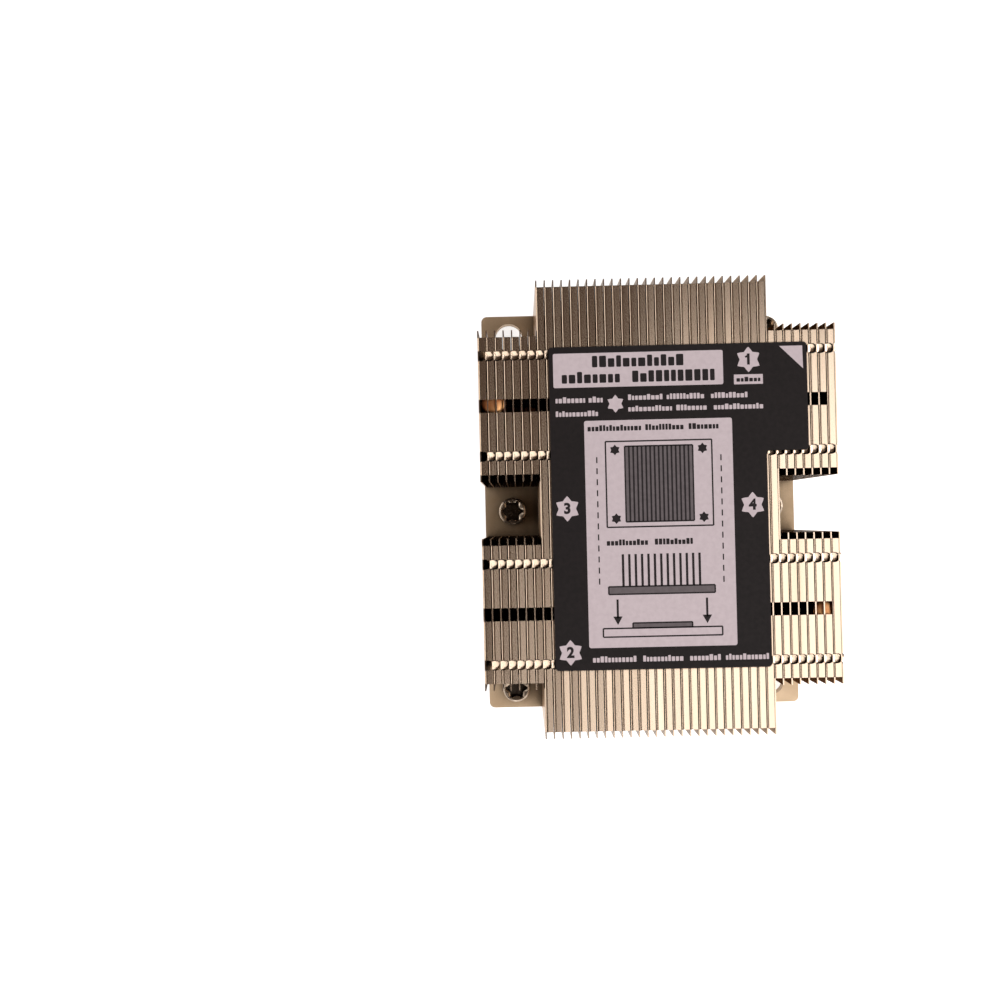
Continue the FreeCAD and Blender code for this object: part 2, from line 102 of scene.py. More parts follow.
def combine(tree, operation, first, second):
    """Join two outputs, or an output and a number, by a math node and give its output."""
    node = tree.nodes.new("ShaderNodeMath")
    node.operation = operation
    feed(tree, node.inputs[0], first)
    feed(tree, node.inputs[1], second)
    return node.outputs[0]


floor_mesh = bpy.data.meshes.new("floor")
floor_mesh.from_pydata([(-FLOOR_HALF, -FLOOR_HALF, 0), (FLOOR_HALF, -FLOOR_HALF, 0),
                        (FLOOR_HALF, FLOOR_HALF, 0), (-FLOOR_HALF, FLOOR_HALF, 0)],
                       [], [(0, 1, 2, 3)])
floor = bpy.data.objects.new("floor", floor_mesh)
floor.location.z = cad_low.z - FLOOR_GAP
bpy.context.collection.objects.link(floor)
floor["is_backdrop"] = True
floor_material, tree, shader = new_material("pale_floor")
shader.inputs["Base Color"].default_value = (0.8, 0.8, 0.8, 1)
shader.inputs["Roughness"].default_value = 0.9
shader.inputs["Specular IOR Level"].default_value = 0.0
# The sheet glows to the eye and in reflections, and lights nothing else
path = tree.nodes.new("ShaderNodeLightPath")
seen = combine(tree, "MAXIMUM", path.outputs["Is Camera Ray"], path.outputs["Is Glossy Ray"])
seen = combine(tree, "MAXIMUM", seen, path.outputs["Is Transmission Ray"])
glow = tree.nodes.new("ShaderNodeEmission")
tree.links.new(combine(tree, "MULTIPLY", seen, FLOOR_GLOW), glow.inputs["Strength"])
both = tree.nodes.new("ShaderNodeAddShader")
tree.links.new(shader.outputs[0], both.inputs[0])
tree.links.new(glow.outputs[0], both.inputs[1])
# From below the sheet is clear to the eye and to light, so that the underside can be looked at
side = tree.nodes.new("ShaderNodeNewGeometry")
passes = combine(tree, "MAXIMUM", side.outputs["Backfacing"], path.outputs["Is Shadow Ray"])
clear = tree.nodes.new("ShaderNodeBsdfTransparent")
sheet = tree.nodes.new("ShaderNodeMixShader")
tree.links.new(passes, sheet.inputs[0])
tree.links.new(both.outputs[0], sheet.inputs[1])
tree.links.new(clear.outputs[0], sheet.inputs[2])
tree.links.new(sheet.outputs[0], tree.nodes["Material Output"].inputs["Surface"])
floor_mesh.materials.append(floor_material)

world = bpy.data.worlds.new("studio")
bpy.context.scene.world = world
world.use_nodes = True
sky = world.node_tree.nodes["Background"]
sky.inputs["Color"].default_value = (1, 0.68, 0.5, 1)
sky.inputs["Strength"].default_value = 0.058


def soft_lamp(name, place, power, width, height=None):
    """Hang a soft disc, or a panel where a height is given, that points at the fins' middle."""
    lamp = bpy.data.lights.new(name, "AREA")
    lamp.shape = "RECTANGLE" if height else "DISK"
    lamp.energy = power
    lamp.size = width
    if height:
        lamp.size_y = height
    hung = bpy.data.objects.new(name, lamp)
    hung.location = place
    hung.visible_camera = False
    hung.rotation_euler = (Vector(LAMP_AIM) - Vector(place)).to_track_quat("-Z", "Y").to_euler()
    bpy.context.collection.objects.link(hung)


soft_lamp("key_disc", (0.42, -0.19, 0.86), 2.9, 0.84)
soft_lamp("left_fill", (-0.72, 0.0, 0.66), 2.8, 1.2, 0.42)
soft_lamp("front_fill", (0.15, -0.85, 0.60), 5.6, 1.0, 0.4)
soft_lamp("right_fill", (0.98, 0.10, 0.50), 5.0, 0.8, 0.4)
soft_lamp("under_fill", (0.10, -0.20, -1.0), 4.5, 0.8)


# Base plate. A milled metal plate with a warm nickel finish, which carries everything.
# Its edges are broken by a fine bevel, and the mill leaves faint lines across it.
def sketch_colour(red, green, blue):
    """Turn a colour as the eye sees it, from 0 to 255, into the shader's linear values."""
    def linear(level):
        level /= 255
        return level / 12.92 if level <= 0.04045 else ((level + 0.055) / 1.055) ** 2.4
    return (linear(red), linear(green), linear(blue), 1)


def new_group(name, inputs, outputs):
    """Start a shader node group with named inputs and outputs."""
    group = bpy.data.node_groups.new(name, "ShaderNodeTree")
    for label, kind, usual in inputs:
        socket = group.interface.new_socket(label, in_out="INPUT", socket_type=kind)
        socket.default_value = usual
    for label, kind in outputs:
        group.interface.new_socket(label, in_out="OUTPUT", socket_type=kind)
    return group, group.nodes.new("NodeGroupInput"), group.nodes.new("NodeGroupOutput")


# Fine parallel lines, as a rolling mill or a cutter leaves them, along one direction
grain_group, given, result = new_group(
    "drawn_grain",
    [("Across", "NodeSocketVector", (1, 1, 1)), ("Lines", "NodeSocketFloat", 400.0)],
    [("Grain", "NodeSocketFloat")])
spot = grain_group.nodes.new("ShaderNodeTexCoord")
stretch = grain_group.nodes.new("ShaderNodeVectorMath")
stretch.operation = "MULTIPLY"
grain_group.links.new(spot.outputs["Object"], stretch.inputs[0])
grain_group.links.new(given.outputs["Across"], stretch.inputs[1])
lines = grain_group.nodes.new("ShaderNodeTexNoise")
lines.inputs["Detail"].default_value = 2
lines.inputs["Roughness"].default_value = 0.6
grain_group.links.new(stretch.outputs[0], lines.inputs["Vector"])
grain_group.links.new(given.outputs["Lines"], lines.inputs["Scale"])
grain_group.links.new(lines.outputs["Fac"], result.inputs["Grain"])

# Soft patches where the finish has been handled or has dulled
patch_group, given, result = new_group(
    "dulled_patches",
    [("Size", "NodeSocketFloat", 60.0), ("Amount", "NodeSocketFloat", 0.5)],
    [("Mask", "NodeSocketFloat")])
spot = patch_group.nodes.new("ShaderNodeTexCoord")
cloud = patch_group.nodes.new("ShaderNodeTexNoise")
cloud.inputs["Detail"].default_value = 5
cloud.inputs["Distortion"].default_value = 0.4
patch_group.links.new(spot.outputs["Object"], cloud.inputs["Vector"])
patch_group.links.new(given.outputs["Size"], cloud.inputs["Scale"])
spread = patch_group.nodes.new("ShaderNodeMapRange")
spread.inputs["From Min"].default_value = 0.35
spread.inputs["From Max"].default_value = 0.7
patch_group.links.new(cloud.outputs["Fac"], spread.inputs["Value"])
patch_group.links.new(given.outputs["Amount"], spread.inputs["To Max"])
patch_group.links.new(spread.outputs["Result"], result.inputs["Mask"])

# Painted shade: an ambient occlusion mask that darkens colour where surfaces stand close together,
# where shade falls
gap_shade_group, given, result = new_group(
    "painted_gap_shade",
    [("Reach", "NodeSocketFloat", 0.004), ("Hardness", "NodeSocketFloat", 1.0)],
    [("Mask", "NodeSocketFloat")])
nearness = gap_shade_group.nodes.new("ShaderNodeAmbientOcclusion")
nearness.samples = 8
gap_shade_group.links.new(given.outputs["Reach"], nearness.inputs["Distance"])
shade_amount = gap_shade_group.nodes.new("ShaderNodeMapRange")
shade_amount.inputs["From Min"].default_value = 0.92
shade_amount.inputs["From Max"].default_value = 0.42
gap_shade_group.links.new(nearness.outputs["AO"], shade_amount.inputs["Value"])
weight = combine(gap_shade_group, "MULTIPLY", shade_amount.outputs["Result"], given.outputs["Hardness"])
gap_shade_group.links.new(weight, result.inputs["Mask"])


def place_group(tree, group, **values):
    """Put a node group in a material with its own values."""
    node = tree.nodes.new("ShaderNodeGroup")
    node.node_tree = group
    for label, number in values.items():
        node.inputs[label].default_value = number
    return node


def blend_colours(tree, mask, first, second):
    """Mix two colours, or a colour output and a colour, by a mask and give the colour output."""
    mix = tree.nodes.new("ShaderNodeMix")
    mix.data_type = "RGBA"
    colours = [socket for socket in mix.inputs if socket.type == "RGBA"]
    feed(tree, colours[0], first)
    feed(tree, colours[1], second)
    tree.links.new(mask, mix.inputs[0])
    return next(socket for socket in mix.outputs if socket.type == "RGBA")


def spread_value(tree, mask, low, high):
    """Map a mask from 0..1 to a range and give the node's output."""
    node = tree.nodes.new("ShaderNodeMapRange")
    node.inputs["To Min"].default_value = low
    node.inputs["To Max"].default_value = high
    tree.links.new(mask, node.inputs["Value"])
    return node.outputs["Result"]


def raise_bumps(tree, shader, height, depth):
    """Feed a height into the shader's normal through a bump of a depth in metres."""
    bump = tree.nodes.new("ShaderNodeBump")
    bump.inputs["Strength"].default_value = 1.0
    bump.inputs["Distance"].default_value = depth
    tree.links.new(height, bump.inputs["Height"])
    tree.links.new(bump.outputs["Normal"], shader.inputs["Normal"])


plate_material, tree, shader = new_material("nickel_plate")
mill = place_group(tree, grain_group, Across=(1, 0.02, 1), Lines=1500.0)
dull = place_group(tree, patch_group, Size=70.0, Amount=1.0)
# Painted shade: the plate's colour turns dark brown in hole walls and narrow gaps, where shade
# falls
gap_shade = place_group(tree, gap_shade_group, Reach=0.006, Hardness=0.75)
metal = blend_colours(tree, dull.outputs["Mask"],
                      sketch_colour(238, 212, 180), sketch_colour(214, 188, 156))
tree.links.new(blend_colours(tree, gap_shade.outputs["Mask"], metal, sketch_colour(84, 64, 46)),
               shader.inputs["Base Color"])
tree.links.new(spread_value(tree, dull.outputs["Mask"], 0.56, 0.68), shader.inputs["Roughness"])
raise_bumps(tree, shader, mill.outputs["Grain"], 0.000004)
shader.inputs["Metallic"].default_value = 1.0


def dress(node, material, edge):
    """Give a node its material, and break its edges by a fine bevel."""
    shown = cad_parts[node]
    shown.data.materials.clear()
    shown.data.materials.append(material)
    bevel = shown.modifiers.new("broken_edges", "BEVEL")
    bevel.width = edge * MM
    bevel.segments = 2
    bevel.limit_method = "ANGLE"
    bevel.angle_limit = math.radians(40)


dress("base_plate", plate_material, edge=0.15)


# Folded fins. Each is one thin plated sheet: an upright web with a flange at its top and foot
# that reaches the next sheet. Tabs on the top flange snap into holes at the next sheet's fold.
SHEET = 0.3
FOLD = 0.3
FOLD_STEPS = 4
PITCH = (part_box("long_fin_02")[0].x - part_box("long_fin_01")[0].x) / MM
FIN_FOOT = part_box("long_fin_01")[0].z / MM
FIN_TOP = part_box("long_fin_01")[1].z / MM
FLANGE_GAP = 0.1
FLANGE_TIP = PITCH - SHEET / 2 - FLANGE_GAP
FLANGE_STEPS = (0.6, 0.95, 1.25, 1.5)
SETBACK = 1.6
BLOCK_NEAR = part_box("fin_block_rear_left")[0].y / MM
BLOCK_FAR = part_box("fin_block_rear_left")[1].y / MM
LOCK_EDGE = 6
LOCK_ROWS = (LOCK_EDGE - BLOCK_FAR, -BLOCK_NEAR - LOCK_EDGE,
             BLOCK_NEAR + LOCK_EDGE, BLOCK_FAR - LOCK_EDGE)
SLOT_ROWS = (-(BLOCK_NEAR + BLOCK_FAR) / 2, (BLOCK_NEAR + BLOCK_FAR) / 2)
SLOT_WIDTH = 3.1
# Holes: the two corners at the flange are round, and the far edge bows out a little
HOLE_HALF = 1.2
HOLE_REACH = 1.65
HOLE_DEPTH = 0.8
HOLE_CORNER = 0.45
HOLE_CORNER_START = 0.7
HOLE_BOW = 0.16
# Tabs: the press dips, dishes, thins and shifts them a little, and turns their ends down
TAB_HALF = 0.95
TAB_ROUND_START = 0.5
TAB_END_LEAST = 0.2
TAB_REACH = 1.4
END_TAB_REACH = 0.45
TAB_ACROSS = (-1, -0.8, -0.45, 0, 0.45, 0.8, 1)
TAB_ALONG = (0.1, 0.3, 0.5, 0.7, 0.85, 0.95, 1.0)
TAB_DIP = 0.16
TAB_DISH = 0.16
TAB_SHIFT = 0.1
TAB_THIN = 0.04
TAB_NOSE = 0.5
TAB_NOSE_START = 0.55
# How far top flanges dip at their tips: by chance up to the first, and on the bridge the second
LEAN_MOST = 0.08
BRIDGE_LEAN = 0.04
# Places along Y that lie closer than this are one place
TOUCH = 0.01
LABEL_HALF = 25.4
# Heat pipes that pass through the sheets of two side blocks
PIPE_ROUND = 3.0
PIPE_CLEAR = 0.3
PIPE_ROOM = 3.87
PIPE_STAND = 38.6
PIPE_SHIFT = 1
PIPE_Y = SLOT_ROWS[1] + PIPE_SHIFT
PIPE_TIP = FIN_TOP - 1.4
PIPE_CUT_LOW = FIN_FOOT + 3
PIPE_CUT_HIGH = FIN_TOP - 1.1


def section_points(tab_reach):
    """Give the sheet's section from the foot flange's tip to the tab's end.

    Each point is its stretch, x and z in the middle of the thickness, and the outward normal.
    """
    foot = FIN_FOOT + SHEET / 2
    top = FIN_TOP - SHEET / 2
    points = [("foot", FLANGE_TIP, foot, 0, -1), ("foot", 2 * FOLD, foot, 0, -1)]

    def fold(stretch, first_turn, middle):
        """Add a quarter turn round a middle height, from an angle in degrees."""
        for step in range(FOLD_STEPS + 1):
            turn = math.radians(first_turn - 90 * step / FOLD_STEPS)
            points.append((stretch, FOLD + FOLD * math.cos(turn), middle + FOLD * math.sin(turn),
                           math.cos(turn), math.sin(turn)))

    fold("foot_fold", 270, foot + FOLD)
    for z in (PIPE_CUT_LOW, PIPE_CUT_HIGH, FIN_TOP - HOLE_DEPTH):
        points.append(("web", 0, z, -1, 0))
    fold("fold", 180, top - FOLD)
    for x in FLANGE_STEPS + (HOLE_REACH, FLANGE_TIP):
        points.append(("flange", x, top, 0, 1))
    for share in TAB_ALONG:
        points.append(("tab", FLANGE_TIP + (PITCH + tab_reach - FLANGE_TIP) * share, top, 0, 1))
    return points


def tab_half_width(share):
    """Give the tab's half width along its reach, with a rounded end."""
    rounding = max(0, (share - TAB_ROUND_START) / (1 - TAB_ROUND_START))
    return TAB_HALF * math.sqrt(max(TAB_END_LEAST, 1 - rounding ** 3))


def near(rows, y, half):
    """Find the row that a place along Y belongs to."""
    return next((row for row in rows if abs(y - row) < half), None)


def add_sheet(work, place, ends, flange_ends, holes, tabs, slots, bare=None, pipe=None,
              tab_reach=TAB_REACH, flat=False, lean=0.0):
    """Add one folded sheet to a mesh in the making.

    place is the sheet's X, and ends and flange_ends are its stretches along Y. holes, tabs and
    slots are rows. bare is a stretch without flanges, and a flat sheet has none at all. pipe is
    the Y of a heat pipe with the height that it needs, and lean is how far the flange dips.
    """
    points = section_points(tab_reach)
    first_fold = next(i for i, point in enumerate(points) if point[0] == "fold")
    cuts = {*ends, *flange_ends}
    for row in slots:
        cuts |= {row - SLOT_WIDTH / 2, row + SLOT_WIDTH / 2}
    for row in set(holes) | set(tabs):
        cuts |= {row + share * HOLE_HALF for share in (-1, 1)}
        cuts |= {row + share * TAB_HALF for share in TAB_ACROSS}
    if bare:
        cuts |= set(bare)
    if pipe:
        cuts |= {pipe[0] - PIPE_ROOM, pipe[0] + PIPE_ROOM}
    cuts = sorted(cuts)

    # Cells of the grid that are sheet, and whether each stands straight up instead of folding
    cells = {}
    for i, (start, stop) in enumerate(zip(points, points[1:])):
        stretch = stop[0]
        x_middle = (start[1] + stop[1]) / 2
        z_middle = (start[2] + stop[2]) / 2
        for j in range(len(cuts) - 1):
            y = (cuts[j] + cuts[j + 1]) / 2
            if not ends[0] < y < ends[1]:
                continue
            if pipe and abs(y - pipe[0]) < PIPE_ROOM and z_middle < pipe[1]:
                continue
            if flat and stretch in ("foot", "foot_fold", "flange", "tab"):
                continue
            in_hole = near(holes, y, HOLE_HALF) is not None
            folded = (flange_ends[0] < y < flange_ends[1] and near(slots, y, SLOT_WIDTH / 2) is None
                      and not (bare and bare[0] < y < bare[1]) and not flat)
            if stretch == "fold":
                if not in_hole:
                    cells[(i, j)] = not folded
            elif stretch == "flange":
                if folded and not (in_hole and x_middle < HOLE_REACH):
                    cells[(i, j)] = False
            elif stretch == "tab":
                if folded and near(tabs, y, TAB_HALF) is not None:
                    cells[(i, j)] = False
            else:
                cells[(i, j)] = False

    made = {}

    def corner(i, j, straight):
        """Make or find the pair of points on both faces of the sheet at one grid corner."""
        stretch, x, z, nx, nz = points[i]
        upright = straight and stretch == "fold" and i > first_fold
        key = (i, j, upright)
        if key in made:
            return made[key]
        y = cuts[j]
        half_thick = SHEET / 2
        if upright:
            share = (i - first_fold) / FOLD_STEPS
            x, nx, nz = 0, -1, 0
            z = FIN_TOP - SHEET / 2 - FOLD + (FOLD + SHEET / 2) * share
        elif stretch == "flange":
            row = near(holes, y, HOLE_HALF + TOUCH)
            if row is not None and abs(abs(y - row) - HOLE_HALF) < TOUCH:
                reach = max(0, (x - HOLE_CORNER_START) / (HOLE_REACH - HOLE_CORNER_START))
                y -= math.copysign(HOLE_CORNER * min(1, reach) ** 2, y - row)
            elif row is not None and x == HOLE_REACH:
                x -= HOLE_BOW * (abs(y - row) / TAB_HALF) ** 4
        elif stretch == "tab":
            row = near(tabs, y, TAB_HALF + TOUCH)
            if row is not None:
                share = (x - FLANGE_TIP) / (PITCH + tab_reach - FLANGE_TIP)
                eased = min(1, share * 3)
                across = (y - row) / TAB_HALF
                y = row + across * tab_half_width(share) + TAB_SHIFT * eased
                z -= (TAB_DIP * eased + TAB_DISH * (1 - across ** 2) * min(1, share * 2)
                      + TAB_NOSE * max(0, share - TAB_NOSE_START))
                half_thick = SHEET / 2 - TAB_THIN * eased
        if stretch in ("fold", "flange", "tab") and not upright:
            z -= lean * max(0, x) / FLANGE_TIP
        made[key] = [
            work.verts.new(((place + x + nx * offset) * MM, y * MM, (z + nz * offset) * MM))
            for offset in (half_thick, -half_thick)]
        return made[key]

    edges = {}
    for (i, j), straight in cells.items():
        ring = [corner(i, j, straight), corner(i + 1, j, straight),
                corner(i + 1, j + 1, straight), corner(i, j + 1, straight)]
        work.faces.new([pair[0] for pair in reversed(ring)])
        work.faces.new([pair[1] for pair in ring])
        for start, stop in zip(ring, ring[1:] + ring[:1]):
            key = frozenset((start[0], stop[0]))
            edges[key] = None if key in edges else (start, stop)
    for rim in edges.values():
        if rim:
            start, stop = rim
            work.faces.new([start[0], stop[0], stop[1], start[1]])


def finish_mesh(work, name, material, body, *nodes, sharp=30):
    """Turn a mesh in the making into a piece that rides on a body and replaces nodes."""
    bmesh.ops.recalc_face_normals(work, faces=work.faces)
    mesh = bpy.data.meshes.new(name)
    work.to_mesh(mesh)
    work.free()
    mesh.shade_smooth()
    mesh.set_sharp_from_angle(angle=math.radians(sharp))
    mesh.materials.append(material)
    piece = bpy.data.objects.new(name, mesh)
    bpy.context.collection.objects.link(piece)
    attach(piece, body)
    if nodes:
        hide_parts(*nodes)
    return piece


fin_material, tree, shader = new_material("plated_fin_sheet")
rolled = place_group(tree, grain_group, Across=(1.0, 0.003, 0.02), Lines=1300.0)
coil = place_group(tree, grain_group, Across=(1.0, 0.06, 0.06), Lines=260.0)
# Painted shade: the sheets turn almost black brown in the narrow gaps between them, at their ends
# and in the slots, where shade falls
gap_shade = place_group(tree, gap_shade_group, Reach=0.006, Hardness=0.95)
metal = blend_colours(tree, coil.outputs["Grain"],
                      sketch_colour(244, 222, 199), sketch_colour(226, 196, 169))
tree.links.new(blend_colours(tree, gap_shade.outputs["Mask"], metal, sketch_colour(52, 37, 27)),
               shader.inputs["Base Color"])
tree.links.new(spread_value(tree, rolled.outputs["Grain"], 0.18, 0.23), shader.inputs["Roughness"])
raise_bumps(tree, shader, rolled.outputs["Grain"], 0.0000003)
shader.inputs["Specular Tint"].default_value = (0.5, 0.4, 0.32, 1)
shader.inputs["Metallic"].default_value = 1.0


def sheet_stretches(node):
    """Give the stretches along Y of a node's webs and of their flanges."""
    low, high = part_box(node)
    ends = (low.y / MM, high.y / MM)
    return ends, (ends[0] + SETBACK, ends[1] - SETBACK)


def lies_hidden(place):
    """Tell whether a sheet's whole flange lies under the label."""
    return abs(place) + PITCH < LABEL_HALF


def rows_between(rows, ends):
    """Give the rows that lie on a stretch."""
    return [row for row in rows if ends[0] < row < ends[1]]


def locks_before(place, ends):
    """Give the rows that lock a sheet to the one before it."""
    rows = LOCK_ROWS
    if lies_hidden(place - PITCH) and lies_hidden(place):
        rows = (LOCK_ROWS[0], LOCK_ROWS[3])
    return rows_between(rows, ends)


# The long sheets. The last of them has the bridge's shorter flanges.
chance = random.Random(7)
long_fins = sorted(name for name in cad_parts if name.startswith("long_fin_"))
for name in long_fins:
    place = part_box(name)[0].x / MM + SHEET / 2
    ends, flange_ends = sheet_stretches(name)
    if name == long_fins[-1]:
        flange_ends = sheet_stretches("bridge_fin")[1]
    work = bmesh.new()
    add_sheet(work, place, ends, flange_ends, locks_before(place, flange_ends),
              locks_before(place + PITCH, flange_ends),
              [] if lies_hidden(place) else rows_between(SLOT_ROWS, flange_ends),
              lean=chance.uniform(0.0, LEAN_MOST))
    finish_mesh(work, f"{name}_sheet", fin_material, "heatsink", name)

# The bridge, which has no flanges between the side blocks
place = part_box("bridge_fin")[0].x / MM + SHEET / 2
ends, flange_ends = sheet_stretches("bridge_fin")
locks = rows_between(LOCK_ROWS, flange_ends)
work = bmesh.new()
add_sheet(work, place, ends, flange_ends, locks, locks, SLOT_ROWS,
          bare=(-BLOCK_NEAR - SETBACK, BLOCK_NEAR + SETBACK), lean=BRIDGE_LEAN)
finish_mesh(work, "bridge_fin_sheet", fin_material, "heatsink", "bridge_fin")

# Side blocks: seven short sheets each, from the outer side inwards. The two right-hand blocks
# end in a flat sheet, and a heat pipe stands in the rear left and the front right block.
BLOCK_SHEETS = 7
STACK_HALF = 42.0
for name in ("fin_block_rear_left", "fin_block_front_left",
             "fin_block_rear_right", "fin_block_front_right"):
    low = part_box(name)[0]
    side = 1 if low.x > 0 else -1
    along = 1 if low.y > 0 else -1
    ends, flange_ends = sheet_stretches(name)
    locks = rows_between(LOCK_ROWS, flange_ends)
    work = bmesh.new()
    for index in range(BLOCK_SHEETS):
        place = side * (STACK_HALF - PITCH * index)
        pipe = None
        if side * along < 0 and index > 0:
            stands = abs(abs(place) - PIPE_STAND) < PIPE_ROUND + SHEET / 2 + PIPE_CLEAR
            pipe = (along * PIPE_Y, PIPE_TIP + PIPE_CLEAR if stands else PIPE_CUT_LOW)
        last = side > 0 and index == 0
        before_last = side > 0 and index == 1
        add_sheet(work, place, ends, flange_ends, locks, [] if last else locks,
                  [] if before_last else rows_between(SLOT_ROWS, flange_ends), pipe=pipe,
                  flat=last, tab_reach=END_TAB_REACH if before_last else TAB_REACH,
                  lean=chance.uniform(0.0, LEAN_MOST))
    finish_mesh(work, f"{name}_sheets", fin_material, "heatsink", name)


# Heat pipes. Copper tubes pressed flat in the plate's grooves, bent up through the side blocks
# and sealed with a rounded tip. Only the tips show, under the fins' slots.
PIPE_FLAT = 2.0
PIPE_WIDE = PIPE_FLAT + (PIPE_ROUND - PIPE_FLAT) * math.pi / 2
PIPE_BEND = 9.0
PIPE_BEND_STEPS = 12
PIPE_LEG_END = 20.0
PIPE_LEVEL = FIN_FOOT - PIPE_FLAT
PIPE_SIDES = 40
BLUNT_LENGTH = 1.2
BLUNT_STEPS = (0, 0.25, 0.6, 0.85, 1.0)
BLUNT_LEAST = 0.02
BLUNT_WIDTH = 0.85
DOME_LENGTH = 1.3
DOME_STEPS = (0, 0.3, 0.55, 0.75, 0.9, 0.98, 1.0)
DOME_LEAST = 0.012


def join_rings(work, rings):
    """Join rings of points by faces, each ring to the next."""
    for ring, following in zip(rings, rings[1:]):
        for step in range(len(ring)):
            after = (step + 1) % len(ring)
            work.faces.new([ring[step], ring[after], following[after], following[step]])


def add_tube(work, stations):
    """Add a closed tube. Each station is a centre, an across, an up and two half sizes."""
    rings = []
    for centre, across, up, flat_half, thick_half in stations:
        ring = []
        for step in range(PIPE_SIDES):
            turn = 2 * math.pi * (step + 0.5) / PIPE_SIDES
            sideways = math.copysign(flat_half, math.cos(turn)) + thick_half * math.cos(turn)
            ring.append(work.verts.new((centre + across * sideways
                                        + up * thick_half * math.sin(turn)) * MM))
        rings.append(ring)
    join_rings(work, rings)
    work.faces.new(list(reversed(rings[0])))
    work.faces.new(rings[-1])


copper_material, tree, shader = new_material("copper_pipe")
worn = place_group(tree, patch_group, Size=260.0, Amount=1.0)
drawn = place_group(tree, grain_group, Across=(1, 1, 0.05), Lines=1200.0)
tree.links.new(blend_colours(tree, worn.outputs["Mask"], sketch_colour(253, 190, 130),
                             sketch_colour(232, 150, 96)), shader.inputs["Base Color"])
tree.links.new(spread_value(tree, worn.outputs["Mask"], 0.34, 0.5), shader.inputs["Roughness"])
raise_bumps(tree, shader, drawn.outputs["Grain"], 0.000006)
shader.inputs["Metallic"].default_value = 1.0

for name, way in (("heat_pipe_rear_left", 1), ("heat_pipe_front_right", -1)):
    out = Vector((-way, 0, 0))
    across = Vector((0, 1, 0))
    up = Vector((0, 0, 1))
    axis_y = Vector((0, way * PIPE_Y, 0))
    flat_half = PIPE_WIDE - PIPE_FLAT
    stations = []
    # The pressed end in the plate
    for share in BLUNT_STEPS:
        size = math.sqrt(max(BLUNT_LEAST, 1 - (1 - share) ** 2))
        centre = axis_y - out * (PIPE_LEG_END - BLUNT_LENGTH * share) + up * PIPE_LEVEL
        stations.append((centre, across, up, flat_half * (BLUNT_WIDTH + (1 - BLUNT_WIDTH) * size),
                         PIPE_FLAT * size))
    # The bend, where the flat section becomes round
    for step in range(PIPE_BEND_STEPS + 1):
        share = step / PIPE_BEND_STEPS
        turn = math.pi / 2 * share
        centre = (axis_y + out * (PIPE_STAND - PIPE_BEND + PIPE_BEND * math.sin(turn))
                  + up * (PIPE_LEVEL + PIPE_BEND * (1 - math.cos(turn))))
        tilted = up * math.cos(turn) - out * math.sin(turn)
        ease = share * share * (3 - 2 * share)
        stations.append((centre, across, tilted, flat_half * (1 - ease),
                         PIPE_FLAT + (PIPE_ROUND - PIPE_FLAT) * ease))
    # The sealed tip
    foot = axis_y + out * PIPE_STAND
    for share in DOME_STEPS:
        height = PIPE_TIP - DOME_LENGTH * (1 - share)
        stations.append((foot + up * height, across, -out, 0,
                         PIPE_ROUND * math.sqrt(max(DOME_LEAST, 1 - share ** 5))))
    work = bmesh.new()
    add_tube(work, stations)
    finish_mesh(work, f"{name}_tube", copper_material, "heatsink", name, sharp=50)


# Captive nuts. Turned from dark plated steel, with a six-lobe socket in the head and a plain bore
# below, where the real nut is threaded. The shank turns in the plate, and an open ring in its
# groove keeps it there.
SHANK_HALF = 3.0
GROOVE_HALF = 2.5
GROOVE_LOW = 0.8
GROOVE_HIGH = 1.4
HEAD_FOOT = 6.1
HEAD_FOOT_EDGE = 0.1
TAIL_EDGE = 0.2
BORE_HALF = 1.65
BORE_TOP = 7.0
BORE_MOUTH_HALF = 1.95
BORE_MOUTH_DEEP = 0.35
SOCKET_POINT = 2.75
SOCKET_VALLEY = 2.05
SOCKET_DEPTH = 3.2
SOCKET_LOBES = 6
LOBE_SHARPNESS = 0.85
SOCKET_LIP = 0.05
SOCKET_LIP_DEEP = 0.12
RIM_WIDE = 0.5
RIM_DEEP = 0.6
RIM_STEPS = 7
SINK_WIDE = 3.1
SINK_DEEP = 0.3
NUT_SIDES = 96


def socket_radius(turn):
    """Give the six-lobe socket's radius at an angle."""
    wave = 0.5 + 0.5 * math.cos(SOCKET_LOBES * turn)
    return SOCKET_VALLEY + (SOCKET_POINT - SOCKET_VALLEY) * wave ** LOBE_SHARPNESS


nut_material, tree, shader = new_material("dark_steel")
worn = place_group(tree, patch_group, Size=420.0, Amount=1.0)
turned = place_group(tree, grain_group, Across=(0.05, 0.05, 1), Lines=3000.0)
# Painted shade: the nut turns almost black in its socket and where it stands close to the plate,
# where shade falls
gap_shade = place_group(tree, gap_shade_group, Reach=0.004, Hardness=0.9)
metal = blend_colours(tree, worn.outputs["Mask"],
                      sketch_colour(206, 188, 168), sketch_colour(160, 142, 124))
tree.links.new(blend_colours(tree, gap_shade.outputs["Mask"], metal, sketch_colour(30, 24, 20)),
               shader.inputs["Base Color"])
tree.links.new(spread_value(tree, worn.outputs["Mask"], 0.24, 0.36), shader.inputs["Roughness"])
raise_bumps(tree, shader, turned.outputs["Grain"], 0.000004)
shader.inputs["Metallic"].default_value = 1.0

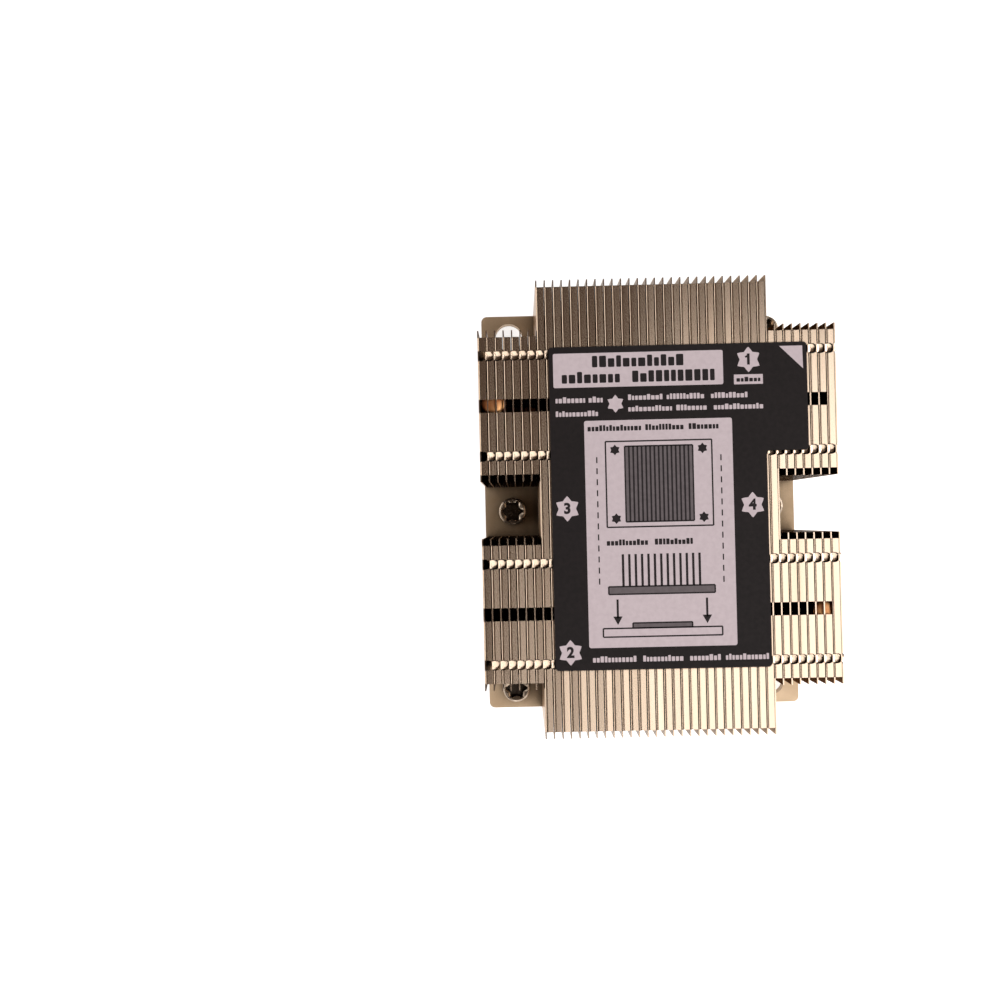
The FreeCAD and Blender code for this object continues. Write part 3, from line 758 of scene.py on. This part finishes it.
for number in (1, 2, 3, 4):
    name = f"captive_nut_{number}"
    low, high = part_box(name)
    centre = (low + high) / 2
    head = (high.x - low.x) / 2 / MM
    top = high.z / MM
    tail = low.z / MM
    # Radius and height of each ring, from the bore's end round the outside to the socket's floor.
    # A radius of None is the socket's own outline, plus a margin.
    turnings = [(BORE_HALF, BORE_TOP, 0), (BORE_HALF, tail + BORE_MOUTH_DEEP, 0),
                (BORE_MOUTH_HALF, tail, 0), (SHANK_HALF - TAIL_EDGE, tail, 0),
                (SHANK_HALF, tail + TAIL_EDGE, 0), (SHANK_HALF, GROOVE_LOW, 0),
                (GROOVE_HALF, GROOVE_LOW, 0), (GROOVE_HALF, GROOVE_HIGH, 0),
                (SHANK_HALF, GROOVE_HIGH, 0), (SHANK_HALF, HEAD_FOOT, 0),
                (head - HEAD_FOOT_EDGE, HEAD_FOOT, 0), (head, HEAD_FOOT + HEAD_FOOT_EDGE, 0)]
    for step in range(RIM_STEPS + 1):
        turn = math.radians(90 * step / RIM_STEPS)
        turnings.append((head - RIM_WIDE * (1 - math.cos(turn)),
                         top - RIM_DEEP * (1 - math.sin(turn)), 0))
    turnings += [(SINK_WIDE, top, 0), (None, top - SINK_DEEP, SOCKET_LIP),
                 (None, top - SINK_DEEP - SOCKET_LIP_DEEP, 0), (None, top - SOCKET_DEPTH, 0)]
    work = bmesh.new()
    rings = []
    for radius, height, margin in turnings:
        ring = []
        for step in range(NUT_SIDES):
            turn = 2 * math.pi * step / NUT_SIDES
            reach = radius if radius is not None else socket_radius(turn) + margin
            ring.append(work.verts.new((centre.x + reach * MM * math.cos(turn),
                                        centre.y + reach * MM * math.sin(turn), height * MM)))
        rings.append(ring)
    join_rings(work, rings)
    work.faces.new(rings[0])
    work.faces.new(list(reversed(rings[-1])))
    finish_mesh(work, f"{name}_turned", nut_material, f"nut_{number}", name)


# Retaining rings. Stamped from spring steel, one in each nut's groove under the plate.
# They stay as the solids have them, with their edges broken.
ring_material, tree, shader = new_material("spring_steel")
worn = place_group(tree, patch_group, Size=500.0, Amount=1.0)
tree.links.new(blend_colours(tree, worn.outputs["Mask"], sketch_colour(150, 146, 142),
                             sketch_colour(104, 98, 94)), shader.inputs["Base Color"])
tree.links.new(spread_value(tree, worn.outputs["Mask"], 0.25, 0.42), shader.inputs["Roughness"])
shader.inputs["Metallic"].default_value = 1.0
for number in (1, 2, 3, 4):
    dress(f"retaining_ring_{number}", ring_material, edge=0.06)


# Label. Dark film with a satin face, stuck on the fin tops, with an ear over the rear right block.
# The print is pale, grey and dark ink: numbered stars in the order of the nuts, bars that stand
# for words, and a plain drawing. Places on it are left, front, right and rear, or X and Y.
FILM_TOP = FIN_TOP + 0.17
INK_TOP = FIN_TOP + 0.185
FILM_LAYER = (FIN_TOP, FILM_TOP)
PALE_LAYER = (FILM_TOP - 0.02, INK_TOP)
GREY_LAYER = (INK_TOP - 0.012, INK_TOP + 0.004)
DARK_LAYER = (INK_TOP - 0.01, FIN_TOP + 0.2)
FILM_CORNER = 0.8
EAR_LENGTH = 25.4
label_low, label_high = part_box("top_label")
LABEL_LEFT = label_low.x / MM
LABEL_FRONT = label_low.y / MM
LABEL_REAR = label_high.y / MM
EAR_RIGHT = label_high.x / MM
EAR_FRONT = LABEL_REAR - EAR_LENGTH
# Pale panels and stars. A star's size is its points' radius and its valleys' radius.
TITLE_PANEL = (-24.4, 28.5, 15.6, 36.6)
TITLE_CORNER = 0.4
PICTURE_PANEL = (-17.4, -32.9, 17.4, 20.6)
PICTURE_CORNER = 0.5
SMALL_PANEL = (18.1, 28.4, 24.9, 30.7)
CORNER_MARK = ((34.4, 31.8), (34.3, 37.2), (28.9, 37.2))
BADGES = {1: (21.6, 34.2), 2: (-21.8, -33.9), 3: (-21.8, 0.0), 4: (21.8, 0.0)}
BADGE_SIZE = (3.0, 2.05)
SMALL_STAR = (-9.9, 24.5)
SMALL_STAR_SIZE = (2.1, 1.4)
STAR_POINTS = 6
STAR_HOLLOW = 1.5
# The plan: a finned block and its four fasteners
PLAN_PLATE = (-12.5, -4.6, 12.5, 15.6)
PLAN_FINS = (-8.0, -3.4, 8.0, 14.4)
PLAN_FIN_PLACES = [-7.0 + step for step in range(15)]
PLAN_FIN_LINE = 0.4
PLAN_NUTS = ((-10.3, -2.6), (10.3, -2.6), (-10.3, 13.6), (10.3, 13.6))
PLAN_NUT_SIZE = (1.25, 0.85)
# The side view: the fins over their plate, and two arrows down to the chip on its board
SIDE_FIN_PLACES = [-9.0 + 1.5 * step for step in range(13)]
SIDE_FIN_TOP = -11.0
SIDE_FIN_LINE = 0.55
SIDE_PLATE = (-12.5, -20.4, 12.5, -18.6)
SIDE_CHIP = (-7.0, -28.4, 7.0, -27.2)
SIDE_BOARD = (-14.0, -30.4, 14.0, -28.4)
ARROW_PLACES = (-10.5, 10.5)
ARROW_SHAFT = (-26.0, -21.6)
ARROW_HEAD = (-27.6, -25.6)
ARROW_HALF = 1.1
ARROW_LINE = 0.5
BOX_LINE = 0.35
# Dashes that join the two views
DASH_PLACES = (-14.6, 14.6)
DASH_STARTS = [12.0 - 2.6 * step for step in range(12)]
DASH_LENGTH = 1.4
DASH_LINE = 0.3
# Blocks of words, as shares of their usual width or of their row's height
BLOCK_ROOM = 0.6
BLOCK_WIDTHS = (0.7, 1.15)
BLOCK_CORNER = 0.14
BLOCK_GAP = 0.27
TALL_BLOCKS = 0.4
SHORT_BY = 0.24
# Words, as rows: front, rear, a block's usual width, and each word's left and right
PALE_WORDS = (
    (24.9, 26.3, 0.75, ((-24.0, -17.0), (-16.2, -12.3))),
    (21.7, 23.0, 0.75, ((-24.0, -13.6),)),
    (25.3, 26.6, 0.75, ((-6.9, 1.2), (2.2, 11.4), (12.6, 21.6))),
    (22.6, 23.9, 0.75, ((-6.9, 3.4), (4.4, 12.0), (13.2, 24.8))),
    (-36.3, -34.9, 0.75, ((-16.6, -6.4), (-4.8, 5.0), (6.2, 13.4), (14.6, 24.7))))
DARK_WORDS = (
    (33.2, 35.9, 1.6, ((-15.2, 6.8),)),
    (29.5, 32.2, 1.6, ((-22.4, -7.6), (-5.8, 13.6))),
    (29.0, 30.1, 0.8, ((18.7, 24.3),)),
    (18.1, 19.5, 0.75, ((-16.6, -4.0), (-3.0, 6.2), (7.2, 14.2))),
    (-8.9, -7.5, 0.75, ((-12.7, -2.4), (-1.4, 8.0))))


def rounded(corners, radius, steps=5):
    """Round each corner of an outline, given anticlockwise, and give its points."""
    points = []
    for index, corner in enumerate(corners):
        here = Vector(corner)
        before = (Vector(corners[index - 1]) - here).normalized()
        after = (Vector(corners[(index + 1) % len(corners)]) - here).normalized()
        half = before.angle(after) / 2
        start = here + before * radius / math.tan(half)
        stop = here + after * radius / math.tan(half)
        middle = here + (before + after).normalized() * radius / math.sin(half)
        for step in range(steps + 1):
            arm = (start - middle).lerp(stop - middle, step / steps).normalized() * radius
            points.append(middle + arm)
    return points


def add_slab(work, outline, layer):
    """Add a flat slab over an outline, from a layer's foot to its top."""
    foot, top = [[work.verts.new((x * MM, y * MM, height * MM)) for x, y in outline]
                 for height in layer]
    work.faces.new(list(reversed(foot)))
    work.faces.new(top)
    join_rings(work, [foot, top])


def box_outline(left, front, right, rear):
    """Give a rectangle's corners."""
    return [(left, front), (right, front), (right, rear), (left, rear)]


def print_words(work, rows, layer):
    """Print rows of plain blocks that stand for words, each block a little wider or narrower."""
    for front, rear, wide, words in rows:
        for left, right in words:
            while left + wide * BLOCK_ROOM < right:
                end = min(right, left + wide * chance.uniform(*BLOCK_WIDTHS))
                tall = chance.random() < TALL_BLOCKS
                top = rear if tall else rear - SHORT_BY * (rear - front)
                block = rounded(box_outline(left, front, end, top), BLOCK_CORNER * wide, 2)
                add_slab(work, block, layer)
                left = end + BLOCK_GAP * wide


def star_outline(x, y, point, valley, steps=8):
    """Give a six-point star with sharp points and hollow sides."""
    points = []
    for step in range(STAR_POINTS * steps):
        turn = 2 * math.pi * step / (STAR_POINTS * steps)
        wave = abs(2 * (step / steps % 1) - 1) ** STAR_HOLLOW
        reach = valley + (point - valley) * wave
        points.append((x + reach * math.sin(turn), y + reach * math.cos(turn)))
    return list(reversed(points))


def stroke(work, start, stop, width):
    """Print a straight dark line."""
    start, stop = Vector(start), Vector(stop)
    side = (stop - start).normalized().orthogonal() * width / 2
    add_slab(work, [start - side, stop - side, stop + side, start + side], DARK_LAYER)


def drawn_box(work, left, front, right, rear):
    """Print the dark outline of a rectangle."""
    corners = box_outline(left, front, right, rear)
    for start, stop in zip(corners, corners[1:] + corners[:1]):
        stroke(work, start, stop, BOX_LINE)


def ink_material(name, pale, deep, rough):
    """Make a printed finish with faint mottling."""
    material, tree, shader = new_material(name)
    mottle = place_group(tree, patch_group, Size=900.0, Amount=1.0)
    tree.links.new(blend_colours(tree, mottle.outputs["Mask"], pale, deep),
                   shader.inputs["Base Color"])
    tree.links.new(spread_value(tree, mottle.outputs["Mask"], rough, rough + 0.08),
                   shader.inputs["Roughness"])
    shader.inputs["Specular IOR Level"].default_value = 0.2
    return material


film_material = ink_material("dark_film", sketch_colour(34, 28, 28), sketch_colour(28, 23, 23), 0.5)
pale_material = ink_material("pale_ink", sketch_colour(214, 198, 202),
                             sketch_colour(206, 190, 194), 0.5)
dark_material = ink_material("dark_ink", sketch_colour(40, 34, 35), sketch_colour(33, 28, 29), 0.5)
grey_material = ink_material("grey_ink", sketch_colour(112, 103, 105),
                             sketch_colour(102, 93, 95), 0.5)

work = bmesh.new()
film = rounded([(LABEL_LEFT, LABEL_FRONT), (LABEL_HALF, LABEL_FRONT), (LABEL_HALF, EAR_FRONT),
                (EAR_RIGHT, EAR_FRONT), (EAR_RIGHT, LABEL_REAR), (LABEL_LEFT, LABEL_REAR)],
               FILM_CORNER)
add_slab(work, film, FILM_LAYER)
finish_mesh(work, "label_film", film_material, "heatsink", "top_label")

# Pale print: the panels, the corner mark, the stars and the words on the film
work = bmesh.new()
add_slab(work, rounded(box_outline(*TITLE_PANEL), TITLE_CORNER), PALE_LAYER)
add_slab(work, rounded(box_outline(*PICTURE_PANEL), PICTURE_CORNER), PALE_LAYER)
add_slab(work, box_outline(*SMALL_PANEL), PALE_LAYER)
add_slab(work, CORNER_MARK, PALE_LAYER)
for x, y in BADGES.values():
    add_slab(work, star_outline(x, y, *BADGE_SIZE), PALE_LAYER)
add_slab(work, star_outline(*SMALL_STAR, *SMALL_STAR_SIZE), PALE_LAYER)
print_words(work, PALE_WORDS, PALE_LAYER)
finish_mesh(work, "label_pale_print", pale_material, "heatsink")

# Grey print: the bank of fins from above, and the plate and the chip from the side
work = bmesh.new()
for field in (PLAN_FINS, SIDE_PLATE, SIDE_CHIP):
    add_slab(work, box_outline(*field), GREY_LAYER)
finish_mesh(work, "label_grey_print", grey_material, "heatsink")

# Dark print: the words on the panels, the plan and the side view
work = bmesh.new()
print_words(work, DARK_WORDS, DARK_LAYER)
drawn_box(work, *PLAN_PLATE)
drawn_box(work, *PLAN_FINS)
for x in PLAN_FIN_PLACES:
    stroke(work, (x, PLAN_FINS[1]), (x, PLAN_FINS[3]), PLAN_FIN_LINE)
for x, y in PLAN_NUTS:
    add_slab(work, star_outline(x, y, *PLAN_NUT_SIZE, 4), DARK_LAYER)
for x in SIDE_FIN_PLACES:
    stroke(work, (x, SIDE_PLATE[3]), (x, SIDE_FIN_TOP), SIDE_FIN_LINE)
for part in (SIDE_PLATE, SIDE_BOARD, SIDE_CHIP):
    drawn_box(work, *part)
for x in ARROW_PLACES:
    stroke(work, (x, ARROW_SHAFT[0]), (x, ARROW_SHAFT[1]), ARROW_LINE)
    add_slab(work, [(x - ARROW_HALF, ARROW_HEAD[1]), (x, ARROW_HEAD[0]),
                    (x + ARROW_HALF, ARROW_HEAD[1])], DARK_LAYER)
# The numeral of the first badge has a flag, which the plain figure below lacks
x, y = BADGES[1]
stroke(work, (x - 0.72, y + 0.55), (x + 0.05, y + 1.0), 0.42)
for x in DASH_PLACES:
    for y in DASH_STARTS:
        stroke(work, (x, y), (x, y - DASH_LENGTH), DASH_LINE)
finish_mesh(work, "label_dark_print", dark_material, "heatsink")

# Numerals on the badges, in dark ink
NUMERAL_SIZE = 3.4
NUMERAL_THICK = 0.006
NUMERAL_BOLD = 0.15
NUMERAL_DROP = 0.05
NUMERAL_RISE = 0.005
for number, (x, y) in BADGES.items():
    lettering = bpy.data.curves.new(f"badge_number_{number}", "FONT")
    lettering.body = str(number)
    lettering.size = NUMERAL_SIZE * MM
    lettering.align_x = "CENTER"
    lettering.align_y = "CENTER"
    lettering.extrude = NUMERAL_THICK * MM
    lettering.offset = NUMERAL_BOLD * MM
    lettering.materials.append(dark_material)
    figure = bpy.data.objects.new(f"badge_number_{number}", lettering)
    figure.location = (x * MM, (y - NUMERAL_DROP) * MM, (INK_TOP + NUMERAL_RISE) * MM)
    bpy.context.collection.objects.link(figure)
    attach(figure, "heatsink")

low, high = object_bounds()
